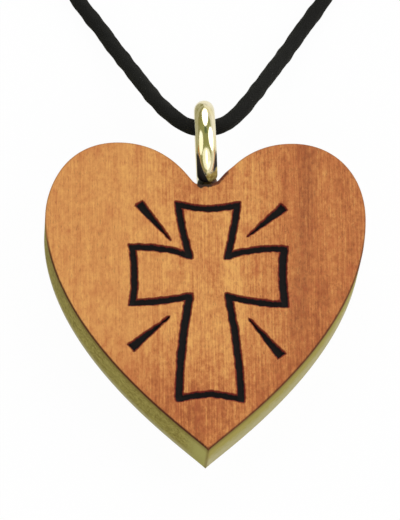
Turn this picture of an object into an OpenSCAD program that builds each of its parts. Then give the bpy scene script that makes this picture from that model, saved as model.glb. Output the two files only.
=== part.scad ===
// Wooden heart pendant with a burnt-in cross, on a screw eye and a neck cord,
// lying face up on a table. Millimetres, +Z up, the heart's tip towards -Y.

/* [Heart] */
// Width of the heart across its lobes
heart_w = 30.3; // [24:0.1:45]
// Thickness of the board
heart_t = 5; // [4:0.1:7]
// Height of the widest place above the tip
widest_y = 23.4; // [20:0.1:25.5]
// Height of the lobes' tops above the tip
lobe_y = 31.2; // [30:0.1:36]
// Distance of each lobe's top from the middle
lobe_x = 8.3; // [7:0.1:9.5]
// Height of the notch's floor above the tip
notch_y = 26.55; // [26.2:0.05:28]
// Radius of the notch's floor
notch_r = 1.6; // [1.4:0.05:2]
// Slope of the edge where it leaves the tip, in degrees from level
tip_slope = 46; // [38:1:48]
// Slope of the edge above the notch, in degrees from level
notch_slope = 44; // [40:1:52]
// Width of the broken edges
edge_break = 0.12; // [0.08:0.01:0.35]

/* [Burnt lines] */
// Depth of the lines below the face
groove_depth = 0.4; // [0.2:0.05:0.8]
// Width of the cross's outline
stroke_w = 0.62; // [0.4:0.02:0.8]
// Distance of the cross's axis from the heart's, to the right
motif_x = 0.22; // [-0.5:0.02:0.5]
// Half width of the cross's head at its top
head_half = 2.8; // [2.4:0.05:3.2]
// Height of the head's top corners above the tip
head_y = 24.73; // [24.2:0.05:25.2]
// Dip of the head's top edge in the middle
head_dip = 0.41; // [0:0.01:0.6]
// Half width of the neck between head and arms
neck_half = 1.8; // [1.4:0.05:2.2]
// Height of the corners between head and arms
neck_top_y = 19.47; // [19:0.05:20]
// Height of the corners between arms and foot
neck_low_y = 15.36; // [15:0.05:16]
// Reach of the arms from the cross's axis
arm_reach = 7.15; // [6.6:0.05:7.6]
// Height of the arms' upper corners
arm_top_y = 20.26; // [20:0.05:20.8]
// Height of the arms' lower corners
arm_low_y = 14.62; // [14:0.05:14.9]
// Dip of the arms' ends in the middle
arm_dip = 0.2; // [0:0.01:0.4]
// Half width of the foot at its bottom
foot_half = 2.9; // [2.5:0.05:3.3]
// Height of the foot's bottom corners
foot_y = 5.07; // [4.8:0.05:6]
// Rise of the foot's bottom edge in the middle
foot_rise = 0.47; // [0:0.01:0.7]
// Width of a ray at its blunt end
ray_w = 0.86; // [0.6:0.02:1]
// Width of a ray at its fine end
ray_tip_w = 0.12; // [0.06:0.02:0.2]

/* [Screw eye] */
// Diameter of the wire
wire_d = 1.95; // [1.4:0.05:2.1]
// Outer diameter of the loop
loop_d = 9.1; // [8.9:0.1:10]
// Radius of the bend between shank and loop
bend_r = 1.2; // [1:0.1:1.6]
// Straight wire between the notch's floor and that bend
neck_rise = 0.65; // [0.3:0.05:1.2]
// Angle from the loop's level to the wire's cut end
cut_angle = 71; // [60:1:73]
// Length of the shank in the wood, without its point
shank_l = 7; // [4:0.5:10]
// Length of the shank's point
point_l = 1.8; // [1:0.1:3]
// Diameter of the point's blunt end
point_d = 0.3; // [0.2:0.05:0.5]
// Distance of the eye from the heart's middle, to the right
eye_x = 0.44; // [-0.6:0.02:0.6]
// Lean of the eye to the left, in degrees
eye_lean = 2; // [0:0.1:4]
// Turn of the eye about its shank, the loop's upper side to the left, in degrees
eye_turn = 3.6; // [0:0.1:5]

/* [Cord] */
// Diameter of the braided cord
cord_d = 1.5; // [1:0.1:1.5]
// Diameter of the coil at the middle of its turns
coil_d = 16.5; // [15:0.5:16.5]
// Turns side by side in the coil
turns_across = 6; // [4:1:6]
// Turns on top of each other in the coil
turns_high = 2; // [2:1:3]
// Length of the tied knot
knot_l = 6.5; // [5:0.5:8]
// Diameter of the tied knot
knot_d = 5.2; // [4.6:0.1:6]
// Length of each loose end beyond the knot
tail_l = 7; // [4:0.5:12]
// Angle of each loose end away from the knot's own line
tail_splay = 9; // [4:1:20]

/* [Rest] */
// Roll of the heart onto the edge to the right of its tip, in degrees
lean = 3.6; // [3:0.1:4.2]

/* [Hidden] */
$fn = 64;
over = 0.1;            // how far a cutter stands out of what it cuts
bore_past = 0.2;       // how far the bore's cut follows the wire past its straight neck
flank_steps = 14;
lobe_steps = 10;
notch_steps = 3;
bow_steps = 6;
tube_sides = 8;
wire_sides = 24;
bend_steps = 5;
loop_steps = 54;

// How far each curve of the outline holds its end directions, as shares of its span
tip_hold = 0.1;
flank_hold = 0.51;
shoulder_hold = 0.49;
crown_hold = 0.68;
inner_hold = 0.66;
notch_hold = 0.15;

// Plane curves
function bezier(a, b, c, d, n) = [
    for (i = [0 : n - 1])
        let (t = i / n, s = 1 - t)
            s * s * s * a + 3 * s * s * t * b + 3 * s * t * t * c + t * t * t * d
];
// From a towards b, bowed to the left of the way by h
function bow(a, b, h) = [
    for (i = [0 : bow_steps - 1])
        let (t = i / bow_steps, way = b - a, left = [-way.y, way.x] / norm(way))
            a + t * way + 4 * t * (1 - t) * h * left
];
function mirrored(path) = [for (i = [len(path) - 1 : -1 : 0]) [-path[i].x, path[i].y]];
function side(a, b) = let (way = b - a) [way.y, -way.x] / norm(way);
// A counter-clockwise outline moved outwards by d, with mitred corners
function moved(path, d) = let (n = len(path)) [
    for (i = [0 : n - 1])
        let (
            before = side(path[(i + n - 1) % n], path[i]),
            after = side(path[i], path[(i + 1) % n])
        )
            path[i] + d * (before + after) / (1 + before * after)
];
function at_height(path, z) = [for (p = path) [p.x, p.y, z]];

// The heart's outline, from the tip up its right side and down its left
tip = [0, 0];
widest = [heart_w / 2, widest_y];
crown = [lobe_x, lobe_y];
notch_end = [notch_r * sin(notch_slope), notch_y + notch_r * (1 - cos(notch_slope))];
flank = bezier(
    tip,
    tip_hold * widest_y * [cos(tip_slope), sin(tip_slope)],
    widest - [0, flank_hold * widest_y],
    widest,
    flank_steps
);
shoulder = bezier(
    widest,
    widest + [0, shoulder_hold * (lobe_y - widest_y)],
    crown + [crown_hold * (heart_w / 2 - lobe_x), 0],
    crown,
    lobe_steps
);
inner_flank = bezier(
    crown,
    crown - [inner_hold * (lobe_x - notch_end.x), 0],
    notch_end + notch_hold * (lobe_y - notch_y) * [cos(notch_slope), sin(notch_slope)],
    notch_end,
    lobe_steps
);
notch_floor = [
    for (i = [0 : notch_steps - 1])
        let (a = notch_slope * (1 - i / notch_steps))
            [notch_r * sin(a), notch_y + notch_r * (1 - cos(a))]
];
right_side = concat(flank, shoulder, inner_flank, notch_floor);
left_side = [for (p = mirrored(right_side)) if (p.y > 0) p];
heart_outline = concat(right_side, [[0, notch_y]], left_side);

// The cross's centre line, right half from the foot's middle up to the head's
foot_corner = [foot_half, foot_y];
neck_low = [neck_half, neck_low_y];
arm_low = [arm_reach, arm_low_y];
arm_top = [arm_reach, arm_top_y];
neck_top = [neck_half, neck_top_y];
head_corner = [head_half, head_y];
edge_bow = 0.07;       // bow of the edges that run from the middle of head and foot
head_bow = 0.08;       // bow of the head's sides
arm_top_bow = 0.28;
arm_low_bow = 0.16;
foot_bow = 0.2;        // bow of the foot's sides
cross_right = concat(
    [for (p = bow([0, foot_y + foot_rise], foot_corner, edge_bow)) if (p.x > 0) p],
    bow(foot_corner, neck_low, -foot_bow),
    bow(neck_low, arm_low, -arm_low_bow),
    bow(arm_low, arm_top, arm_dip),
    bow(arm_top, neck_top, -arm_top_bow),
    bow(neck_top, head_corner, -head_bow),
    bow(head_corner, [0, head_y - head_dip], edge_bow)
);
cross_line = concat(
    [[0, foot_y + foot_rise]], cross_right, [[0, head_y - head_dip]], mirrored(cross_right)
);

// The rays: blunt end, then fine end, from the cross's axis and the tip
rays = [
    [[7.24, 24.63], [3.69, 21.5]],
    [[-6.51, 24.8], [-3.52, 21]],
    [[-7.29, 10.1], [-3.72, 13.25]],
    [[6.7, 9.44], [3.73, 13.11]]
];

// The screw eye: place of its loop, and of what its wire runs through
loop_r = (loop_d - wire_d) / 2;
loop_rise = sqrt(pow(loop_r + bend_r, 2) - pow(bend_r, 2));
bend_angle = atan2(loop_rise, bend_r);
eye_rise = neck_rise + loop_rise;
loop_centre = [eye_x - eye_rise * sin(eye_lean), notch_y + eye_rise * cos(eye_lean), heart_t / 2];
loop_axis = [cos(eye_turn) * cos(eye_lean), cos(eye_turn) * sin(eye_lean), sin(eye_turn)];

// How the heart lies: rolled by lean, then pitched until loop and edge both touch the table
function rolled(p) = [
    p.x * cos(lean) + p.z * sin(lean), p.y, p.z * cos(lean) - p.x * sin(lean)
];
function laid_point(p, pitch) = let (q = rolled(p)) [
    q.x, q.y * cos(pitch) - q.z * sin(pitch), q.y * sin(pitch) + q.z * cos(pitch)
];
function laid_points(points, pitch) = [for (p = points) laid_point(p, pitch)];
function along(points, k) = [for (p = points) p[k]];
function loop_reach(k, pitch) =
    loop_r * sqrt(1 - pow(laid_point(loop_axis, pitch)[k], 2)) + wire_d / 2;
function loop_low(k, pitch) = laid_point(loop_centre, pitch)[k] - loop_reach(k, pitch);
function loop_high(k, pitch) = laid_point(loop_centre, pitch)[k] + loop_reach(k, pitch);
back_inner = at_height(moved(heart_outline, -edge_break), 0);
back_outer = at_height(heart_outline, edge_break);
face_outer = at_height(heart_outline, heart_t - edge_break);
face_inner = at_height(moved(heart_outline, -edge_break), heart_t);
heart_rings = [back_inner, back_outer, face_outer, face_inner];
heart_points = [for (ring = heart_rings) for (p = ring) p];
function heart_low(pitch) = min(along(laid_points(heart_points, pitch), 2));
function resting(low, high, tries) =
    let (mid = (low + high) / 2)
        tries <= 0 ? mid
            : loop_low(2, mid) > heart_low(mid) ? resting(low, mid, tries - 1)
            : resting(mid, high, tries - 1);
most_pitch = 15;
pitch_tries = 24;
pitch = resting(0, most_pitch, pitch_tries);
lying = laid_points(heart_points, pitch);
low_corner = [for (k = [0 : 2]) min(min(along(lying, k)), loop_low(k, pitch))];
high_corner = [for (k = [0 : 2]) max(max(along(lying, k)), loop_high(k, pitch))];
base = [
    (low_corner.x + high_corner.x) / 2, (low_corner.y + high_corner.y) / 2, low_corner.z
];

// The cord's way through the eye, from the coil's left side to its near side
coil_centre = [0, 52, 0];
cord_route = [
    [-13.5, 52, 0.75],
    [-13.8, 49, 0.75],
    [-14.2, 45.5, 0.75],
    [-14.4, 42, 0.75],
    [-14.2, 38.5, 0.75],
    [-13.4, 35.2, 0.75],
    [-12.16, 32.65, 0.75],
    [-10.96, 30.76, 0.75],
    [-9.76, 28.97, 0.85],
    [-8.86, 27.28, 1.2],
    [-7.86, 25.5, 1.75],
    [-6.77, 23.42, 2.55],
    [-5.62, 21.22, 3.45],
    [-4.45, 19.1, 4.28],
    [-3.15, 17.2, 4.89],
    [-1.65, 15.78, 5.22],
    [0.25, 15.33, 5.35],
    [2.15, 15.83, 5.22],
    [3.55, 17.27, 4.84],
    [4.9, 19.52, 4.23],
    [5.88, 21.35, 3.5],
    [6.94, 23.34, 2.7],
    [7.94, 25.23, 1.9],
    [8.84, 26.92, 1.35],
    [9.75, 28.6, 0.95],
    [10.95, 30.5, 0.75],
    [12.15, 32.4, 0.75],
    [13.1, 34.6, 0.75],
    [13.1, 37, 0.75],
    [11.6, 38.9, 0.75],
    [9, 39.6, 0.75],
    [6, 39.4, 0.75],
    [3, 38.6, 0.75],
    [0, 38.4, 0.75]
];
knot_angle = 75;       // where the knot lies beside the coil, from +X

coil_w = turns_across * cord_d;
coil_h = turns_high * cord_d;
coil_reach = (coil_d + coil_w) / 2;

// Places what is drawn in the heart's own frame as it lies on the table
module laid() {
    translate(-base)
        rotate([pitch, 0, 0])
            rotate([0, lean, 0])
                children();
}

// A closed skin over rings of equally many points, counter-clockwise from the end ring
module skin(rings) {
    n = len(rings[0]);
    last = len(rings) - 1;
    polyhedron(
        points = [for (ring = rings) for (p = ring) p],
        faces = concat(
            [[for (i = [0 : n - 1]) i]],
            [for (k = [0 : last - 1]) for (i = [0 : n - 1])
                let (j = (i + 1) % n) [k * n + i, (k + 1) * n + i, (k + 1) * n + j, k * n + j]],
            [[for (i = [n - 1 : -1 : 0]) last * n + i]]
        ),
        convexity = 8
    );
}

module cross_stroke() {
    outer = moved(cross_line, stroke_w / 2);
    inner = moved(cross_line, -stroke_w / 2);
    n = len(cross_line);
    polygon(
        points = concat(outer, inner),
        paths = [[for (i = [0 : n - 1]) i], [for (i = [0 : n - 1]) n + i]]
    );
}

module ray(blunt, fine) {
    way = fine - blunt;
    across = [-way.y, way.x] / norm(way) / 2;
    polygon([
        blunt + across * ray_w, blunt - across * ray_w,
        fine - across * ray_tip_w, fine + across * ray_tip_w
    ]);
}

module burnt_lines() {
    translate([motif_x, 0, heart_t - groove_depth])
        linear_extrude(groove_depth + over) {
            cross_stroke();
            for (r = rays)
                ray(r[0], r[1]);
        }
}

// The hole that the shank is screwed into, drawn along +Y up past the notch's floor
module shank_hole() {
    bottom = -shank_l - point_l;
    rotate([-90, 0, 0])
        rotate_extrude()
            polygon([
                [0, bottom], [point_d / 2, bottom], [wire_d / 2, -shank_l],
                [wire_d / 2, neck_rise + bore_past], [0, neck_rise + bore_past]
            ]);
}

// Places what is drawn about the notch's floor, at the middle of the board
module at_notch() {
    translate([eye_x, notch_y, heart_t / 2])
        rotate([0, 0, eye_lean])
            children();
}

// Places along an arc, each with the angle of its radius
function arc(centre, r, from, to, steps) = [
    for (i = [0 : steps])
        let (a = from + (to - from) * i / steps)
            [centre.x + r * cos(a), centre.y + r * sin(a), a]
];
// A round section of the wire at a place in the XY plane, across the way that it runs
function section(place, d) = [
    for (k = [0 : wire_sides - 1])
        let (b = 360 * k / wire_sides)
            [
                place.x + d / 2 * cos(b) * cos(place[2]),
                place.y + d / 2 * cos(b) * sin(place[2]),
                d / 2 * sin(b)
            ]
];
shank_rings = [
    section([0, -shank_l - point_l, 0], point_d),
    section([0, -shank_l, 0], wire_d)
];
bend_rings = [
    for (p = arc([-bend_r, neck_rise], bend_r, 0, bend_angle, bend_steps)) section(p, wire_d)
];
// Round the loop from the bend to the cut end, its radius now on the other side of the wire
loop_rings = [
    for (p = arc([0, eye_rise], loop_r, 180 + bend_angle, -cut_angle, loop_steps))
        if (p[2] < 180 + bend_angle)
            section([p.x, p.y, p[2] - 180], wire_d)
];

module heart_body() {
    color("peru")
        laid()
            difference() {
                skin(heart_rings);
                burnt_lines();
                at_notch()
                    shank_hole();
            }
}

module screw_eye() {
    color("darkkhaki")
        laid()
            at_notch()
                rotate([0, -90 - eye_turn, 0])
                    skin(concat(shank_rings, bend_rings, loop_rings));
}

// A ring of points across the route at its point i
function tube_ring(i) =
    let (
        last = len(cord_route) - 1,
        way = cord_route[min(i + 1, last)] - cord_route[max(i - 1, 0)],
        left = cross([0, 0, 1], way) / norm(cross([0, 0, 1], way)),
        up = cross(way, left) / norm(way)
    )
        [
            for (k = [0 : tube_sides - 1])
                let (a = 360 * k / tube_sides)
                    cord_route[i] + cord_d / 2 * (cos(a) * left + sin(a) * up)
        ];

module cord() {
    color("dimgray")
        skin([for (i = [0 : len(cord_route) - 1]) tube_ring(i)]);
}

module cord_coil() {
    color("dimgray")
        translate(coil_centre)
            rotate_extrude()
                translate([coil_d / 2, coil_h / 2]) {
                    square([coil_w - cord_d, coil_h], center = true);
                    square([coil_w, coil_h - cord_d], center = true);
                    for (s = [-1, 1], t = [-1, 1])
                        translate([s * (coil_w - cord_d) / 2, t * (coil_h - cord_d) / 2])
                            circle(d = cord_d);
                }
}

// A strand lying along +X from the origin, its free end rounded
module strand(l) {
    rotate([0, 90, 0])
        cylinder(h = l, d = cord_d);
    translate([l, 0, 0])
        sphere(d = cord_d);
}

// The knot lies beside the coil, its own line along the coil's edge
module cord_knot() {
    color("dimgray")
        translate(coil_centre)
            rotate(knot_angle - 90)
                translate([0, coil_reach + knot_d / 2, 0]) {
                    translate([0, 0, knot_d / 2])
                        rotate([0, 90, 0])
                            rotate_extrude()
                                knot_profile();
                    for (s = [-1, 1])
                        translate([0, s * cord_d / 2, cord_d / 2])
                            rotate(s * tail_splay)
                                strand(knot_l / 2 + tail_l);
                }
}

// Half section of the barrel-shaped knot, its own line along Y
module knot_profile() {
    intersection() {
        translate([0, -knot_l / 2])
            square([knot_d / 2, knot_l]);
        union() {
            square([knot_d, knot_l - knot_d], center = true);
            for (s = [-1, 1])
                translate([0, s * (knot_l - knot_d) / 2])
                    circle(d = knot_d);
        }
    }
}

heart_body();
screw_eye();
cord();
cord_coil();
cord_knot();
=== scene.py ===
import math
import bpy
import bmesh
import numpy as np
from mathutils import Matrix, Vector, geometry, noise


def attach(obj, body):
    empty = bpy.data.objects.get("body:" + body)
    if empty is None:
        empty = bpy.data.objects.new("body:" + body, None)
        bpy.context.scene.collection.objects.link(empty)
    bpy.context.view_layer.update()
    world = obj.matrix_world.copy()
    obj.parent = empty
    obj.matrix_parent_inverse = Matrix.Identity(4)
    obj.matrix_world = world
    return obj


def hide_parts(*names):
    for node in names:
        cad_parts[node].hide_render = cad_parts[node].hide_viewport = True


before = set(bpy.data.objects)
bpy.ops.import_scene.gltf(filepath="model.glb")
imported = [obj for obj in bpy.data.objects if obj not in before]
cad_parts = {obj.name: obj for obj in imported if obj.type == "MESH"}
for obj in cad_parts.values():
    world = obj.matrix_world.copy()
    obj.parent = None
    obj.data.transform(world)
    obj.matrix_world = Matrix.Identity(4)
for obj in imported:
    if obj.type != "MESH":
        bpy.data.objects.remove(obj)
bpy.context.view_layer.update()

# Wooden heart pendant with a burnt-in cross, on a brass screw eye and a braided neck cord.
# Lengths are millimetres here and become metres where a mesh is made.
mm = 0.001
scene = bpy.context.scene
scene.view_settings.view_transform = "Standard"


# The camera, at the photograph's angle
photoView = {
    "distance": 350,        # from the point aimed at
    "elevation": 62.808,    # above the table, in degrees
    "azimuth": 0.074,       # to the right of straight in front
    "roll": -0.759,
    "aim": (-0.418, 1.733, 4.327),
    "lens": 256.64,
    "sensor": 36,
}


def addCamera(v):
    elevation, azimuth, roll = (math.radians(v[k]) for k in ("elevation", "azimuth", "roll"))
    back = Vector((
        math.sin(azimuth) * math.cos(elevation),
        -math.cos(azimuth) * math.cos(elevation),
        math.sin(elevation),
    ))
    level = Vector((math.cos(azimuth), math.sin(azimuth), 0))
    upright = back.cross(level)
    right = math.cos(roll) * level + math.sin(roll) * upright
    up = back.cross(right)
    lens = bpy.data.cameras.new("photoCamera")
    lens.lens = v["lens"]
    lens.sensor_width = v["sensor"]
    lens.clip_start = 0.01
    lens.clip_end = 10
    camera = bpy.data.objects.new("photoCamera", lens)
    scene.collection.objects.link(camera)
    place = (Vector(v["aim"]) + v["distance"] * back) * mm
    for row in range(3):
        camera.matrix_world[row] = (right[row], up[row], back[row], place[row])
    scene.camera = camera


addCamera(photoView)
print("camera in place")


# Meshes
def newPiece(name, points, faces, finish, smooth=True):
    mesh = bpy.data.meshes.new(name)
    mesh.from_pydata([tuple(p) for p in np.asarray(points) * mm], [], faces)
    mesh.update()
    piece = bpy.data.objects.new(name, mesh)
    scene.collection.objects.link(piece)
    if smooth:
        mesh.shade_smooth()
    mesh.materials.append(finish)
    return piece


def addSurfacePlaces(piece, corners):
    # corners: one (around, along) pair for each face corner, in turns and millimetres
    layer = piece.data.uv_layers.new(name="surface")
    layer.data.foreach_set("uv", np.asarray(corners, dtype=np.float32).ravel())


def addValues(mesh, name, values):
    # one number for each point, for the materials to read
    layer = mesh.attributes.new(name, "FLOAT", "POINT")
    layer.data.foreach_set("value", values.astype(np.float32))


def unit(v):
    v = np.asarray(v, float)
    return v / np.maximum(np.linalg.norm(v, axis=-1, keepdims=True), 1e-12)


def eased(t):
    # 0 below 0, 1 above 1, with a soft start and end
    t = np.clip(t, 0, 1)
    return t * t * (3 - 2 * t)


def turned(u, v, degrees):
    # the pair (u, v), turned in its own plane
    angle = math.radians(degrees)
    return u * math.cos(angle) - v * math.sin(angle), u * math.sin(angle) + v * math.cos(angle)


def bezier(a, b, c, d, steps):
    # from a up to, but without, d
    t = np.linspace(0, 1, steps, endpoint=False)[:, None]
    a, b, c, d = (np.array(q, float) for q in (a, b, c, d))
    return (1 - t) ** 3 * a + 3 * (1 - t) ** 2 * t * b + 3 * (1 - t) * t * t * c + t ** 3 * d


def distancesAlong(path):
    return np.concatenate([[0], np.cumsum(np.linalg.norm(np.diff(path, axis=0), axis=1))])


def alongPath(points, step):
    # a smooth line through all the points, resampled at equal steps
    p = np.asarray(points, float)
    p = np.vstack([2 * p[0] - p[1], p, 2 * p[-1] - p[-2]])
    fine = []
    for a, b, c, d in zip(p[:-3], p[1:-2], p[2:-1], p[3:]):
        t = np.linspace(0, 1, 12, endpoint=False)[:, None]
        fine.append(0.5 * (
            2 * b + (c - a) * t + (2 * a - 5 * b + 4 * c - d) * t ** 2
            + (3 * b - a - 3 * c + d) * t ** 3
        ))
    fine = np.vstack(fine + [p[-2:-1]])
    reach = distancesAlong(fine)
    count = max(int(round(reach[-1] / step)), 2)
    at = np.linspace(0, reach[-1], count + 1)
    return np.column_stack([np.interp(at, reach, fine[:, k]) for k in range(3)])


def carriedFrames(path):
    # two directions across the path at each point, carried along without twist
    way = unit(np.gradient(path, axis=0))
    first = np.cross(way[0], (0, 0, 1))
    side = unit(first if np.linalg.norm(first) > 1e-3 else np.cross(way[0], (0, 1, 0)))
    sides = [side]
    for w in way[1:]:
        side = unit(side - np.dot(side, w) * w)
        sides.append(side)
    sides = np.array(sides)
    return sides, np.cross(way, sides)


def tube(path, radii, around, start=0):
    # closed skin; radii is one row for each path point and one column for each side
    sides, ups = carriedFrames(path)
    angle = 2 * np.pi * np.arange(around) / around
    spokes = (
        np.cos(angle)[None, :, None] * sides[:, None, :]
        + np.sin(angle)[None, :, None] * ups[:, None, :]
    )
    rings = path[:, None, :] + radii[:, :, None] * spokes
    points = rings.reshape(-1, 3)
    reach = distancesAlong(path)
    faces, corners = [], []
    for i in range(len(path) - 1):
        low, high = i * around + start, (i + 1) * around + start
        for k in range(around):
            j = (k + 1) % around
            faces.append((low + k, low + j, high + j, high + k))
            corners += [
                (k / around, reach[i]), ((k + 1) / around, reach[i]),
                ((k + 1) / around, reach[i + 1]), (k / around, reach[i + 1]),
            ]
    last = (len(path) - 1) * around + start
    faces.append(tuple(start + k for k in range(around))[::-1])
    corners += [(k / around, 0) for k in range(around)][::-1]
    faces.append(tuple(last + k for k in range(around)))
    corners += [(k / around, reach[-1]) for k in range(around)]
    return points, faces, corners


# Shader helpers
class Tone:
    # a node's output that takes arithmetic
    def __init__(self, finish, socket):
        self.finish = finish
        self.socket = socket

    def __add__(self, other):
        return self.finish.calc("ADD", self, other)

    def __radd__(self, other):
        return self.finish.calc("ADD", other, self)

    def __sub__(self, other):
        return self.finish.calc("SUBTRACT", self, other)

    def __rsub__(self, other):
        return self.finish.calc("SUBTRACT", other, self)

    def __mul__(self, other):
        return self.finish.calc("MULTIPLY", self, other)

    def __rmul__(self, other):
        return self.finish.calc("MULTIPLY", other, self)

    def __truediv__(self, other):
        return self.finish.calc("DIVIDE", self, other)

    def __rtruediv__(self, other):
        return self.finish.calc("DIVIDE", other, self)

    def __neg__(self):
        return self.finish.calc("MULTIPLY", self, -1)


class Finish:
    # one material, or the world, and its nodes
    def __init__(self, name, owner=None):
        self.owner = owner or bpy.data.materials.new(name)
        self.owner.use_nodes = True
        self.tree = self.owner.node_tree
        self.tree.nodes.clear()

    def node(self, kind, settings=None, sockets=None, output=0):
        made = self.tree.nodes.new("ShaderNode" + kind)
        for key, value in (settings or {}).items():
            if key == "stops":
                self.setStops(made.color_ramp, value)
            else:
                setattr(made, key, value)
        for key, value in (sockets or {}).items():
            if isinstance(value, Tone):
                self.tree.links.new(value.socket, made.inputs[key])
            else:
                made.inputs[key].default_value = value
        return Tone(self, made.outputs[output]) if made.outputs else made

    def setStops(self, ramp, stops):
        while len(ramp.elements) < len(stops):
            ramp.elements.new(1)
        for element, (place, colour) in zip(ramp.elements, stops):
            element.position = place
            element.color = colour

    def calc(self, operation, *values):
        return self.node("Math", {"operation": operation}, dict(enumerate(values)))

    def step(self, value, low, high):
        # 0 below low, 1 above high, eased between
        return self.node(
            "MapRange", {"interpolation_type": "SMOOTHSTEP"},
            {"Value": value, "From Min": low, "From Max": high},
        )

    def blend(self, factor, a, b):
        return self.node("Mix", {"data_type": "RGBA"}, {0: factor, 6: a, 7: b}, output=2)

    def stretched(self, vector, scale):
        return self.node("VectorMath", {"operation": "MULTIPLY"}, {0: vector, 1: scale})

    def cloud(self, vector, scale, detail=2.0, roughness=0.5, distortion=0.0):
        return self.node("TexNoise", {}, {
            "Vector": vector, "Scale": scale, "Detail": detail,
            "Roughness": roughness, "Distortion": distortion,
        })

    def close(self, surface):
        self.node("OutputMaterial", {}, {"Surface": surface})
        return self.owner


def tint(red, green, blue):
    # screen colour, 0 to 255, to the shader's own
    return tuple(
        c / 12.92 if c <= 0.04045 else ((c + 0.055) / 1.055) ** 2.4
        for c in (red / 255, green / 255, blue / 255)
    ) + (1.0,)


# The cord
cordSizes = {
    "diameter": 1.5,
    "plait": 2.5,           # length of one whole plait along the cord
    "bumps": 4,             # plaits side by side round the cord, in each slant
    "relief": 0.045,        # how far the plaits stand out of the mean radius
    "twist": 55.0,          # length in which the braid turns once
    "yarns": 38,            # how fine the yarns are, in radians for each millimetre
    "ringStep": 0.16,       # between two rings of the cord's skin
    "around": 16,
    "coilCentre": (0, 52),
    "coilInner": 4.5,       # radius of the innermost turn
    "layers": (0.75, 2.25),  # height of the two layers of turns
    "climb": (2.5, 2.75),   # turns at which a strand starts and ends its climb between them
    "leadTurns": 0.5,       # in which a strand comes in to the coil
    # each strand's angle, its first and last turn, and how far out of the coil it starts
    "leftStrand": (180, 0, 5.144, 1.5),
    "rightStrand": (360, 0.25, 4.644, 2.35),
}

cordTones = {"low": (16, 16, 16), "high": (29, 29, 28), "patch": (22, 21, 21)}

# The cord's way through the eye, as in the CAD source
cordRoute = [
    (-13.8, 49, 0.75), (-14.2, 45.5, 0.75), (-14.4, 42, 0.75), (-14.2, 38.5, 0.75),
    (-13.4, 35.2, 0.75), (-12.16, 32.65, 0.75), (-10.96, 30.76, 0.75), (-9.76, 28.97, 0.85),
    (-8.86, 27.28, 1.2), (-7.86, 25.5, 1.75), (-6.77, 23.42, 2.55), (-5.62, 21.22, 3.45),
    (-4.45, 19.1, 4.28), (-3.13, 17.28, 4.89), (-1.6, 15.86, 5.22), (0.25, 15.33, 5.35),
    (2.1, 15.92, 5.22), (3.5, 17.35, 4.84), (4.9, 19.52, 4.23), (5.88, 21.35, 3.5),
    (6.94, 23.34, 2.7), (7.94, 25.23, 1.9), (8.84, 26.92, 1.35), (9.75, 28.6, 0.95),
    (10.95, 30.5, 0.75), (12.15, 32.4, 0.75), (13.1, 34.6, 0.75), (13.1, 37, 0.75),
    (11.6, 38.9, 0.75), (9, 39.6, 0.75), (6, 39.4, 0.75), (3, 38.6, 0.75),
]

knotSizes = {
    "centre": (3.973, 66.827, 2.6),
    "angle": -15.0,         # direction of the knot's own line, from +X
    "tailEnd": 10.1,        # from the knot's middle to the ends of the tails
    "beadLength": 0.5,      # in which a singed end rounds off
    "mouth": 1.2,           # from the knot's middle back to where the cord goes in
    "mouthHeight": 2.3,
    "leaveCoil": 0.42,      # how straight the cord leaves the coil and enters the knot
    "enterKnot": 0.4,
}


def coilTurns(firstAngle, start, end, lead):
    # one strand: inwards on the table, up at the middle, outwards on top; both wound clockwise
    turns = []
    layerLow, layerHigh = cordSizes["layers"]
    inner, pitch = cordSizes["coilInner"], 2 * cordSizes["diameter"]
    down, up = cordSizes["climb"]
    for u in np.arange(start, end, 1 / 32):
        r = inner + pitch * (down - u) if u < down else inner + pitch * max(u - up, 0)
        r += lead * max(0, 1 - (u - start) / cordSizes["leadTurns"]) ** 2
        a = math.radians(firstAngle - 360 * u)
        z = layerLow + (layerHigh - layerLow) * eased((u - down) / (up - down))
        turns.append((
            cordSizes["coilCentre"][0] + r * math.cos(a),
            cordSizes["coilCentre"][1] + r * math.sin(a), z,
        ))
    return turns


def intoKnot(turns, side):
    # from the end of a strand's turns on the coil's top into the near end of the knot
    start, before = np.array(turns[-1]), np.array(turns[-2])
    ahead = np.array((*turned(1, 0, knotSizes["angle"]), 0))
    left = np.array((*turned(0, 1, knotSizes["angle"]), 0))
    end = np.array(knotSizes["centre"]) - knotSizes["mouth"] * ahead
    end = end + side * cordSizes["diameter"] / 2 * left
    end[2] = knotSizes["mouthHeight"]
    span = np.linalg.norm(end - start)
    out = start + knotSizes["leaveCoil"] * span * unit(start - before)
    back = end - knotSizes["enterKnot"] * span * ahead
    return [*bezier(start, out, back, end, 11)[1:], end]


leftTurns = coilTurns(*cordSizes["leftStrand"])
rightTurns = coilTurns(*cordSizes["rightStrand"])
leftSide = leftTurns + intoKnot(leftTurns, 1)
rightSide = rightTurns + intoKnot(rightTurns, -1)
cordPath = alongPath(leftSide[::-1] + cordRoute + rightSide, cordSizes["ringStep"])


def braidRadii(count):
    # plaits stand up in a staggered pattern, which turns slowly along the cord
    s = np.arange(count)[:, None] * cordSizes["ringStep"]
    angle = 2 * np.pi * np.arange(cordSizes["around"])[None, :] / cordSizes["around"]
    angle = angle + 2 * np.pi * s / cordSizes["twist"]
    wave = np.cos(cordSizes["bumps"] * angle) * np.cos(2 * np.pi * s / cordSizes["plait"])
    return cordSizes["diameter"] / 2 + cordSizes["relief"] * wave


def pressed(points):
    # the plaits flatten where they lie on the table
    points = np.asarray(points)
    points[:, 2] = np.maximum(points[:, 2], 0)
    return points


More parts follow.
